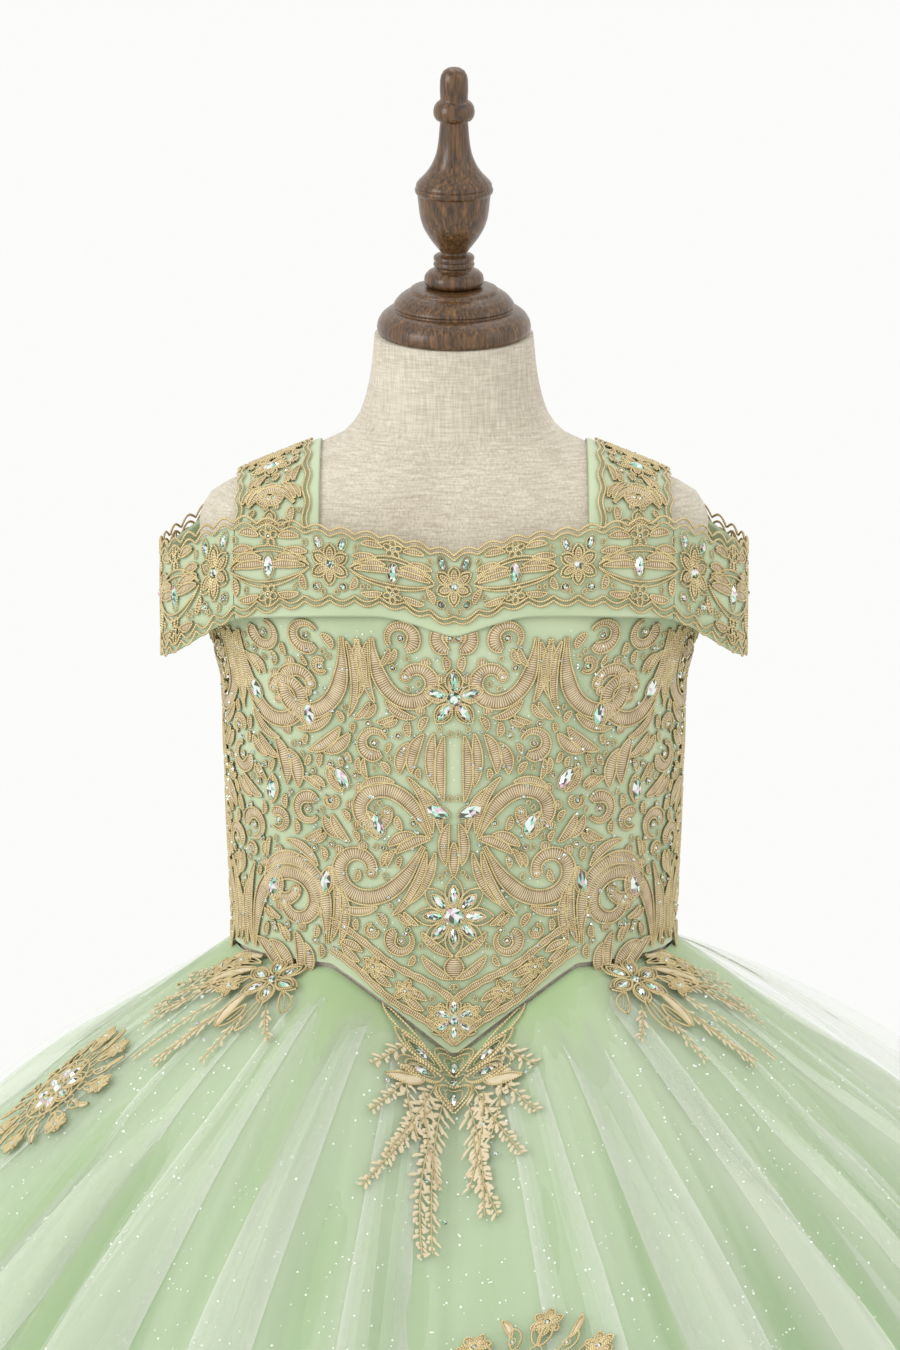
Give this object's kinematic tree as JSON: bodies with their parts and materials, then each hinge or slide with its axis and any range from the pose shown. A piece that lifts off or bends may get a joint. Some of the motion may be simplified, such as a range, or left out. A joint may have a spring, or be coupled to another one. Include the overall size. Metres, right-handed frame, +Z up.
{
  "type": "embroidered ball gown on a dress form",
  "caption": "Child's off-the-shoulder mint tulle ball gown with gold corded lace and a pointed bodice, standing on a limbless linen dress form with a wooden neck cap",
  "frame": {"origin": "centre of the underside of the stand's round base, on the floor", "axes": "+Z up along the pole; the gown's front faces -Y; the wearer's left side is +X"},
  "size_m": [1.0654, 1.0652, 1.1437],
  "materials": {
    "satin": "soft satin",
    "tulle": "sheer glitter tulle",
    "lace": "gold corded lace",
    "zip_tape": "woven tape",
    "zip_metal": "polished",
    "linen": "plain linen weave",
    "dark_wood": "satin varnish",
    "pole_steel": "polished"
  },
  "bodies": {
    "gown_on_form": {"bodice_front": "satin", "bodice_back_left": "satin", "bodice_back_right": "satin", "strap_left": "satin", "strap_right": "satin", "band_front": "satin", "band_sleeve_left": "satin", "band_sleeve_right": "satin", "band_back_left": "satin", "band_back_right": "satin", "underskirt_front": "satin", "underskirt_back": "satin", "tulle_front": "tulle", "tulle_left": "tulle", "tulle_back": "tulle", "tulle_right": "tulle", "lace_front": "lace", "lace_sleeve_left": "lace", "lace_sleeve_right": "lace", "lace_back_left": "lace", "lace_back_right": "lace", "lace_point_spray": "lace", "lace_waist_spray_left": "lace", "lace_waist_spray_right": "lace", "lace_medallion_front": "lace", "lace_medallion_side": "lace", "zip_tape": "zip_tape", "zip_slider": "zip_metal", "dress_form": "linen", "neck_cap": "dark_wood", "finial": "dark_wood", "stand_base": "dark_wood", "stand_pole": "pole_steel"},
    "pull_tab": {"zip_pull_tab": "zip_metal"}
  },
  "joints": [
    {"name": "zip_pull_swing", "type": "hinge", "parent": "gown_on_form", "child": "pull_tab", "pos_m": [0, 0.08485, 0.8835], "axis": [1, 0, 0], "range_deg": [0, 160]}
  ]
}
